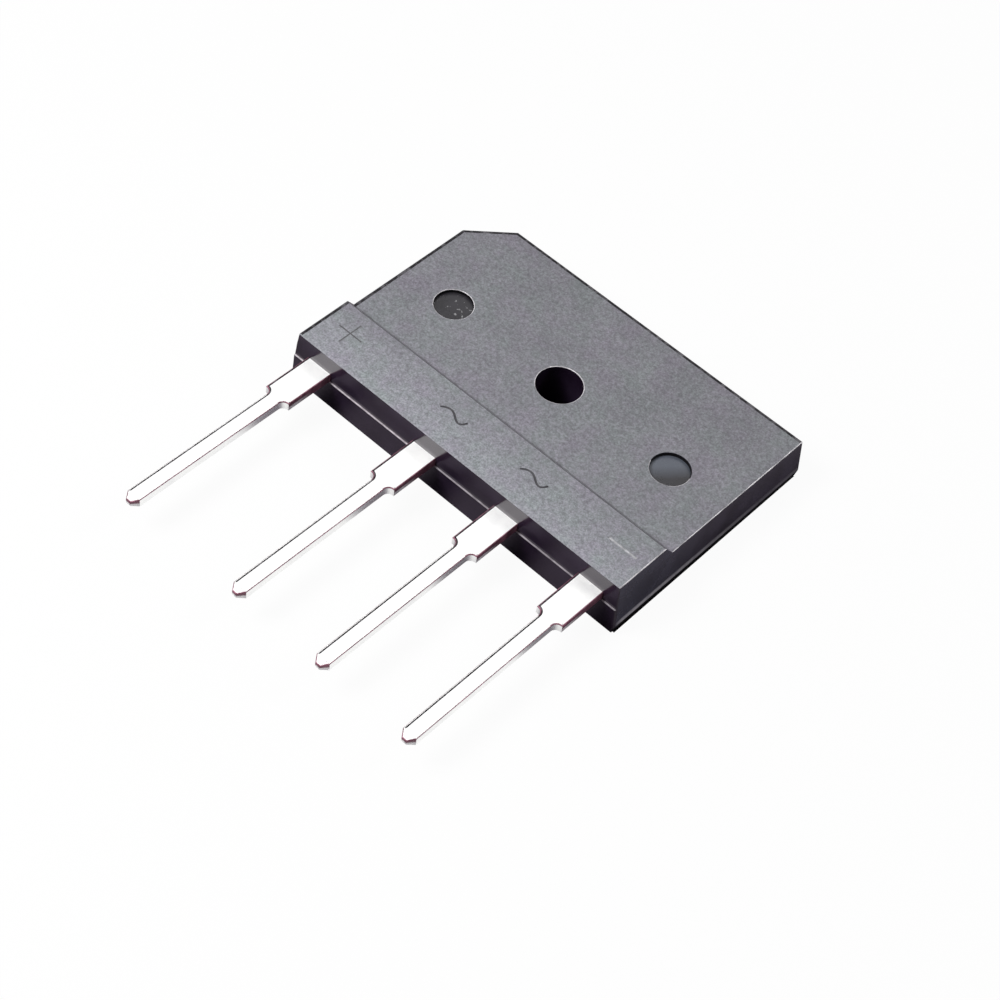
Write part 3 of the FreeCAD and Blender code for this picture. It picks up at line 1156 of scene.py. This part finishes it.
stageSettings = {
    "floorSize": 3.0,
    "floorDrop": 0.00003,
    "floorColour": (0.80, 0.80, 0.80),
    "bounceColour": (0.225, 0.20, 0.235),  # the paper as the part sees it, so that its walls stay dark
    "cameraShare": 0.95,  # how far the camera sees the floor as white, which leaves a faint shadow
    "mirrorReach": (0.0047, 0.0060),  # the part mirrors the floor as white from here on
    "footprint": (0.015, 0.010),
    "footprintMiddle": -0.001,
    "holeRadius": 0.0024,  # painted shade: what shows through the screw hole stays dark
    "contactSide": 0.015,  # and so does a painted contact shadow along the foot of the minus side, wider in front
    "contactStart": 0.0146,
    "contactEnds": (-0.0107, 0.0088),
    "contactReach": (0.00002, -0.00006),
    "shadeColour": (0.01, 0.008, 0.01),
    "ambient": 0.13,
}


def contactShadowMask(nodes, links, x, y):
    # 1 on the painted contact shadow, and 0 elsewhere
    settings = stageSettings
    front, back = settings["contactEnds"]
    reach = addRange(nodes, links, y, settings["contactEnds"], settings["contactReach"])
    outer = addMath(nodes, links, "ADD", reach, settings["contactSide"])
    return multiplyAll(
        nodes, links,
        addMath(nodes, links, "GREATER_THAN", x, settings["contactStart"]),
        addMath(nodes, links, "LESS_THAN", x, outer),
        addMath(nodes, links, "GREATER_THAN", y, front),
        addMath(nodes, links, "LESS_THAN", y, back))


def mirrorShare(nodes, links, x, y):
    # 0 close round the part's footprint, and 1 beyond it
    settings = stageSettings
    middle = addMath(nodes, links, "SUBTRACT", y, settings["footprintMiddle"])
    beyond = []
    for axis, half in zip((x, middle), settings["footprint"]):
        distance = addMath(nodes, links, "ABSOLUTE", axis)
        beyond.append(addMath(nodes, links, "SUBTRACT", distance, half))
    away = addMath(nodes, links, "MAXIMUM", *beyond)
    return addRange(nodes, links, away, settings["mirrorReach"])


def makeFloor():
    settings = stageSettings
    bpy.ops.object.select_all(action="DESELECT")
    bpy.ops.mesh.primitive_plane_add(size=settings["floorSize"], location=(0, 0, -settings["floorDrop"]))
    floor = bpy.context.object
    floor.name = "floor"
    paper, nodes, links, shader, place = newFinish("white paper")
    nodes.remove(shader)
    matt = nodes.new("ShaderNodeBsdfDiffuse")
    glow = nodes.new("ShaderNodeEmission")
    ray = nodes.new("ShaderNodeLightPath")
    mix = nodes.new("ShaderNodeMixShader")
    x, y, z = addAxes(nodes, links, place)
    length = nodes.new("ShaderNodeVectorMath")
    length.operation = "LENGTH"
    links.new(place, length.inputs[0])
    offHole = addMath(nodes, links, "GREATER_THAN", length.outputs["Value"], settings["holeRadius"])
    offContact = addMath(nodes, links, "SUBTRACT", 1.0, contactShadowMask(nodes, links, x, y))
    bare = multiplyAll(nodes, links, offHole, offContact)
    camera = ray.outputs["Is Camera Ray"]
    paperColour = mixColour(nodes, links, camera, settings["bounceColour"], settings["floorColour"])
    paperColour = mixColour(nodes, links, bare, settings["shadeColour"], paperColour)
    links.new(paperColour, matt.inputs["Color"])
    seen = multiplyAll(nodes, links, bare, settings["cameraShare"], camera)
    mirrored = multiplyAll(nodes, links, mirrorShare(nodes, links, x, y), ray.outputs["Is Glossy Ray"])
    links.new(addMath(nodes, links, "ADD", seen, mirrored), mix.inputs["Fac"])
    links.new(matt.outputs["BSDF"], mix.inputs[1])
    links.new(glow.outputs["Emission"], mix.inputs[2])
    links.new(mix.outputs["Shader"], nodes["Material Output"].inputs["Surface"])
    floor.data.materials.append(paper)


def makeWorld():
    world = bpy.data.worlds.new("studio")
    bpy.context.scene.world = world
    world.use_nodes = True
    nodes = world.node_tree.nodes
    links = world.node_tree.links
    nodes.clear()
    output = nodes.new("ShaderNodeOutputWorld")
    room = nodes.new("ShaderNodeBackground")
    room.inputs["Strength"].default_value = stageSettings["ambient"]
    white = nodes.new("ShaderNodeBackground")
    ray = nodes.new("ShaderNodeLightPath")
    mix = nodes.new("ShaderNodeMixShader")
    seen = addMath(nodes, links, "MAXIMUM", ray.outputs["Is Camera Ray"], ray.outputs["Is Glossy Ray"])
    links.new(seen, mix.inputs["Fac"])
    links.new(room.outputs["Background"], mix.inputs[1])
    links.new(white.outputs["Background"], mix.inputs[2])
    links.new(mix.outputs["Shader"], output.inputs["Surface"])


lampSettings = {
    # direction from the part, distance and size in metres, and radiance
    "fill": {"direction": (-0.37, -0.52, 0.77), "distance": 0.226, "size": (0.10, 0.085), "radiance": 18.0},
    "key": {"direction": (-0.20, 0.52, 0.83), "distance": 0.36, "size": (0.32, 0.17), "radiance": 0.95},
    "rim": {"direction": (0.45, 0.56, 0.70), "distance": 0.36, "size": (0.10, 0.10), "radiance": 9.0},
}


def makeLamps():
    for name, settings in lampSettings.items():
        width, height = settings["size"]
        direction = Vector(settings["direction"]).normalized()
        data = bpy.data.lights.new(name, "AREA")
        data.shape = "RECTANGLE"
        data.size = width
        data.size_y = height
        data.energy = settings["radiance"] * math.pi * width * height  # a lamp's watts for its radiance
        lamp = bpy.data.objects.new(name, data)
        lamp.location = direction * settings["distance"]
        lamp.rotation_euler = direction.to_track_quat("Z", "X").to_euler()
        bpy.context.scene.collection.objects.link(lamp)


cameraSettings = {
    "place": (58.08, -88.01, 120.34),  # millimetres
    "aim": (4.099, -10.528, 3.6),
    "roll": 10.07,  # degrees
    "lens": 81.94,
    "sensor": 36.0,
}


def makeCamera():
    settings = cameraSettings
    data = bpy.data.cameras.new("camera")
    data.lens = settings["lens"]
    data.sensor_width = settings["sensor"]
    data.clip_start = 0.005
    data.clip_end = 10
    camera = bpy.data.objects.new("camera", data)
    bpy.context.scene.collection.objects.link(camera)
    place = Vector(settings["place"]) * millimetre
    ahead = Vector(settings["aim"]) * millimetre - place
    level = ahead.to_track_quat("-Z", "Y").to_matrix().to_4x4()
    roll = Matrix.Rotation(math.radians(settings["roll"]), 4, "Z")
    camera.matrix_world = Matrix.Translation(place) @ level @ roll
    bpy.context.scene.camera = camera


makeFloor()
makeWorld()
makeLamps()
makeCamera()
bpy.context.scene.view_settings.view_transform = "Standard"
print("stage, lamps and camera made")
